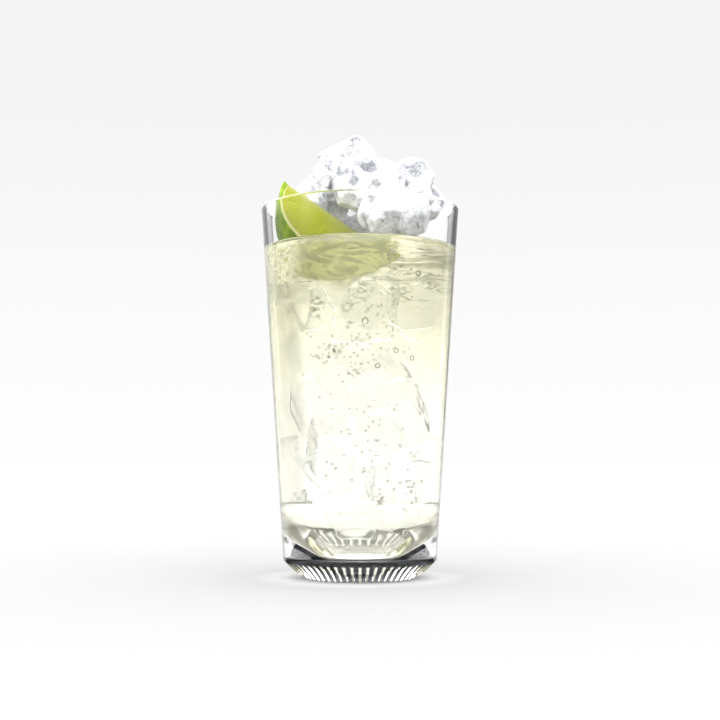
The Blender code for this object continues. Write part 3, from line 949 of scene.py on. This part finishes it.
# The bubbles: gas that clings to the inside of the wall, a few large ones and clusters of fine ones. In the
# picture's pixels, a bubble is its column, row and radius, and a cluster its column, row, spread across,
# spread down and count.
BUBBLES = [
    (365.0, 320.6, 3.6), (416.0, 273.6, 3.2), (395.0, 350.6, 2.6), (410.0, 358.0, 2.6), (377.0, 365.6, 3.0),
    (355.0, 279.0, 1.6), (374.0, 279.0, 2.0), (348.0, 327.0, 1.7), (357.0, 338.0, 1.7), (383.0, 323.0, 1.6),
    (386.0, 326.0, 1.3), (403.0, 352.0, 1.5),
]
FINE_CLUSTERS = [
    (318, 310, 8, 12, 26), (338, 349, 14, 9, 30), (321, 357, 7, 5, 12), (352, 370, 8, 6, 14),
    (380, 498, 6, 10, 14), (409, 493, 9, 18, 26), (307, 496, 7, 12, 18), (360, 300, 50, 25, 40),
    (360, 345, 55, 30, 60), (360, 440, 60, 60, 60), (392, 260, 22, 10, 20),
]
PIXELS_ACROSS = 720
FINE_RADIUS = (0.8, 1.6)
BUBBLE_REACH = 70
BUBBLE_LEVELS = (252, 525)
NEARER_THAN_AXIS = 0.93
BUBBLE_SEED = 5
WALL_CLEARANCE = 0.25 * MM
BUBBLE_ROWS, BUBBLE_COLUMNS = 8, 12
BUBBLE_IOR = 1.12
BUBBLE_PALE = ((0.95, 0.95, 0.88, 1), (1.0, 1.0, 0.97, 1))
BUBBLE_RIM_SHADE = ((0.04, 0.04, 0.02, 1), (0.08, 0.08, 0.04, 1))
BUBBLE_RIM = (0.10, 0.38)
BUBBLE_RIM_SHARE = 0.92


def on_wall(column, row, radius):
    """Where the sight line through a point of the picture meets the inside of the near wall, less the
    bubble's own radius."""
    focal = FOCAL_LENGTH / SENSOR_WIDTH * PIXELS_ACROSS
    right, up = (column - PIXELS_ACROSS / 2) / focal, (PIXELS_ACROSS / 2 - row) / focal
    ahead = math.cos(CAMERA_TILT) - up * math.sin(CAMERA_TILT)
    rise = math.sin(CAMERA_TILT) + up * math.cos(CAMERA_TILT)
    distance = CAMERA_DISTANCE
    for _ in range(12):
        x, z = right * distance / ahead, CAMERA_HEIGHT + rise * distance / ahead
        wall = inner_radius(z) - radius - WALL_CLEARANCE
        distance = CAMERA_DISTANCE - np.sqrt(np.maximum(wall**2 - x**2, 0))
    return np.stack([x, distance - CAMERA_DISTANCE, z], -1)


draw = np.random.default_rng(BUBBLE_SEED)
fine = np.concatenate([
    np.stack([draw.normal(x, w / 2, n), draw.normal(y, h / 2, n), draw.uniform(*FINE_RADIUS, n)], 1)
    for x, y, w, h, n in FINE_CLUSTERS
])
spots = np.concatenate([np.array(BUBBLES), fine])
in_drink = (spots[:, 1] > BUBBLE_LEVELS[0]) & (spots[:, 1] < BUBBLE_LEVELS[1])
spots = spots[(np.abs(spots[:, 0] - PIXELS_ACROSS / 2) < BUBBLE_REACH) & in_drink]
pixel = CAMERA_DISTANCE / (FOCAL_LENGTH / SENSOR_WIDTH * PIXELS_ACROSS)
bubble_radius = spots[:, 2] * pixel * NEARER_THAN_AXIS
middles = on_wall(spots[:, 0], spots[:, 1], bubble_radius)
ball = ball_directions(BUBBLE_ROWS, BUBBLE_COLUMNS)
bubbles = mesh_piece("bubbles", [skin_grid(ball * r + c) for r, c in zip(bubble_radius, middles)])
bubble_finish = bpy.data.materials.new("bubble_skin")
tree = Tree(bubble_finish)
place = tree.add("ShaderNodeTexCoord")["Object"]
tint = tree.add("ShaderNodeTexNoise", None, {"Vector": place, "Scale": 60.0, "Detail": 2.0})
clear = tree.add("ShaderNodeBsdfPrincipled", None, {
    "Base Color": tree.blend(tint, *BUBBLE_PALE),
    "Roughness": 0.0,
    "Transmission Weight": 1.0,
    "IOR": BUBBLE_IOR,
})
# Each bubble's rim is painted dark where it is seen edge-on: a painted shade for the dark ring a bubble
# shows.
rim_shade = tree.add("ShaderNodeBsdfPrincipled", None, {
    "Base Color": tree.blend(tint, *BUBBLE_RIM_SHADE),
    "Roughness": 0.2,
})
edge = tree.add("ShaderNodeLayerWeight", None, {"Blend": 0.5})["Facing"]
rim_share = tree.ease(edge, *BUBBLE_RIM) * BUBBLE_RIM_SHARE
rim = tree.add("ShaderNodeMixShader", None, {0: rim_share, 1: clear, 2: rim_shade})
tree.add("ShaderNodeOutputMaterial", None, {"Surface": rim})
bubbles.data.materials.append(bubble_finish)

# The lime wedge: cut from a fresh lime from tip to tip, with green dimpled peel, a thin white pith and juicy
# flesh. It stands with its lower end in the drink. The peel's and pith's thicknesses are in millimetres.
LIME_HALF_LENGTH = 24.0 * MM
LIME_RADIUS = 26.0 * MM
LIME_TIP_SHARPNESS = 0.09
LIME_TIP_POWER = 12
LIME_CORE_CUT = 1.0 * MM
LIME_CENTRE = Vector((-8.2, -7.2, 140.5)) * MM
LIME_DIP = math.radians(35)
SEEN_FACE_ANGLE = math.radians(46)
HIDDEN_FACE_ANGLE = math.radians(-12)
PEEL_THICKNESS = 0.55
PITH_THICKNESS = 1.8
LIME_ROWS = 200
FACE_POINTS = 70
PEEL_POINTS = 60
VESICLES = 38
VESICLE_RELIEF = 0.16 * MM
VESICLE_SIZE = 1.0 * MM
FLESH_SUNK = 0.12 * MM
PITH_RIDGE = 0.18 * MM
PEEL_GREENS = ((0.10, 0.19, 0.001, 1), (0.23, 0.32, 0.002, 1))
PORE_GREEN = (0.23, 0.33, 0.006, 1)
SAC_COLOURS = ((0.232, 0.245, 0.014, 1), (0.192, 0.212, 0.009, 1))
CORE_COLOUR = (0.26, 0.27, 0.06, 1)
PITH_COLOUR = (0.38, 0.37, 0.19, 1)
SUNK_LIME_PAINTED_LIGHT = (0.86, 0.90, 0.20, 1)
SUNK_LIME_HEIGHTS = (129 * MM, 124 * MM)


def wedge_section():
    """One turn round the wedge's cross-section at a girth of 1: out along the hidden face, round the peel to
    the seen face, and back in to the core."""
    out = np.linspace(0, 1, FACE_POINTS, endpoint=False)
    swing = np.linspace(HIDDEN_FACE_ANGLE, SEEN_FACE_ANGLE, PEEL_POINTS, endpoint=False)
    radius = np.concatenate([out, np.ones(PEEL_POINTS), 1 - out])
    hidden, seen = np.full(FACE_POINTS, HIDDEN_FACE_ANGLE), np.full(FACE_POINTS, SEEN_FACE_ANGLE)
    angle = np.concatenate([hidden, swing, seen])
    return radius, angle


def lime_points():
    """The section is swept from tip to tip, its girth following a lime's outline with drawn-out tips. The cut
    faces carry the relief of juice sacs, which run out from the core, and a low ridge of pith."""
    sweep = np.linspace(0, math.pi, LIME_ROWS)[:, None]
    along = -np.cos(sweep)
    x = along * (1 + LIME_TIP_SHARPNESS * np.abs(along) ** LIME_TIP_POWER) * LIME_HALF_LENGTH
    girth = np.sin(sweep) * LIME_RADIUS
    radius, angle = wedge_section()
    y = -np.sin(angle) * radius * girth
    z = -np.cos(angle) * radius * girth
    middle = (SEEN_FACE_ANGLE + HIDDEN_FACE_ANGLE) / 2
    core = LIME_CORE_CUT * np.minimum(1, girth / LIME_RADIUS * 3)
    push = np.maximum(core + (y * math.sin(middle) + z * math.cos(middle)), 0)
    y = y - push * math.sin(middle)
    z = z - push * math.cos(middle)
    face = np.concatenate([np.full(FACE_POINTS, -1), np.zeros(PEEL_POINTS), np.ones(FACE_POINTS)])
    from_core = radius * girth
    spread = np.arctan2(from_core, x)
    sacs = np.stack([spread * VESICLES * MM, np.hypot(x, from_core) * 0.35, 0 * x + face * 9 * MM], -1)
    under = girth - radius * girth
    flesh = np.clip((under - PITH_THICKNESS * MM) / (1.2 * MM), 0, 1) * np.minimum(1, radius * 6)
    lift = value_noise(sacs, VESICLE_SIZE, 3) * VESICLE_RELIEF * flesh
    ridge = np.exp(-(((under - PITH_THICKNESS * 0.6 * MM) / (0.5 * MM)) ** 2))
    lift = lift + PITH_RIDGE * ridge * (radius < 1)
    lift = lift - FLESH_SUNK * flesh
    lift = lift * np.sin(sweep) ** 0.5
    y = y - lift * np.cos(angle) * face
    z = z + lift * np.sin(angle) * face
    local = np.stack([x + 0 * y, y, z], 2)
    return local @ np.array(Matrix.Rotation(LIME_DIP, 3, "Y")).T + np.array(LIME_CENTRE)


lime = mesh_piece("lime_wedge_fruit", [skin_grid(lime_points())])
lime_finish = bpy.data.materials.new("lime_flesh_and_peel")
tree = Tree(lime_finish)
place = tree.add("ShaderNodeTexCoord")["Object"]
local = tree.add("ShaderNodeVectorMath", {"operation": "SUBTRACT"}, {0: place, 1: LIME_CENTRE})
local = tree.add("ShaderNodeVectorRotate", {"rotation_type": "Y_AXIS"}, {"Vector": local, "Angle": -LIME_DIP})
split = tree.add("ShaderNodeSeparateXYZ", None, {"Vector": local})
from_axis = split["X"].math("SQRT", split["Y"] * split["Y"] + split["Z"] * split["Z"])
along = split["X"] / LIME_HALF_LENGTH
girth = along.math("SQRT", along.math("MAXIMUM", 1 - along * along, 0.0)) * LIME_RADIUS
under_peel = (girth - from_axis) / MM
blotches = tree.add("ShaderNodeTexNoise", None, {"Vector": local, "Scale": 260.0, "Detail": 3.0})
pores = tree.add("ShaderNodeTexVoronoi", None, {"Vector": local, "Scale": 900.0})
peel = tree.blend(tree.ease(blotches, 0.35, 0.7), *PEEL_GREENS)
peel = tree.blend(tree.ease(pores, 0.1, 0.45), PORE_GREEN, peel)
spread = split["Z"].math("ARCTAN2", from_axis, split["X"])
rays = tree.add("ShaderNodeCombineXYZ", None, {"X": spread * 22, "Y": from_axis / MM * 0.35, "Z": 0.0})
sacs = tree.add("ShaderNodeTexVoronoi", None, {"Vector": rays, "Scale": 1.6})
juice = tree.blend(sacs, *SAC_COLOURS)
juice = tree.blend(tree.ease(from_axis / MM, 5.0, 1.0), juice, CORE_COLOUR)
pith = tree.ease(under_peel, PITH_THICKNESS + 0.25, PITH_THICKNESS - 0.15)
colour = tree.blend(pith, juice, PITH_COLOUR)
colour = tree.blend(tree.ease(under_peel, PEEL_THICKNESS, PEEL_THICKNESS - 0.15), colour, peel)
# Under the drink the wedge is painted a bright yellow-green: painted light for the light the drink holds back
# from it.
under_drink = tree.ease(tree.add("ShaderNodeSeparateXYZ", None, {"Vector": place})["Z"], *SUNK_LIME_HEIGHTS)
colour = tree.blend(under_drink * 0.9, colour, SUNK_LIME_PAINTED_LIGHT)
on_peel = tree.ease(under_peel, 0.3, 0.1)
height_of = pores * on_peel * 0.6 + sacs * (1 - pith) * 0.4
relief = tree.add("ShaderNodeBump", None, {"Strength": 0.35, "Distance": 0.0004, "Height": height_of})
skin = tree.add("ShaderNodeBsdfPrincipled", None, {
    "Base Color": colour,
    "Roughness": 0.22 + on_peel * 0.1,
    "Specular IOR Level": 0.10,
    "Normal": relief,
})
tree.add("ShaderNodeOutputMaterial", None, {"Surface": skin})
lime.data.materials.append(lime_finish)
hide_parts("lime_wedge")
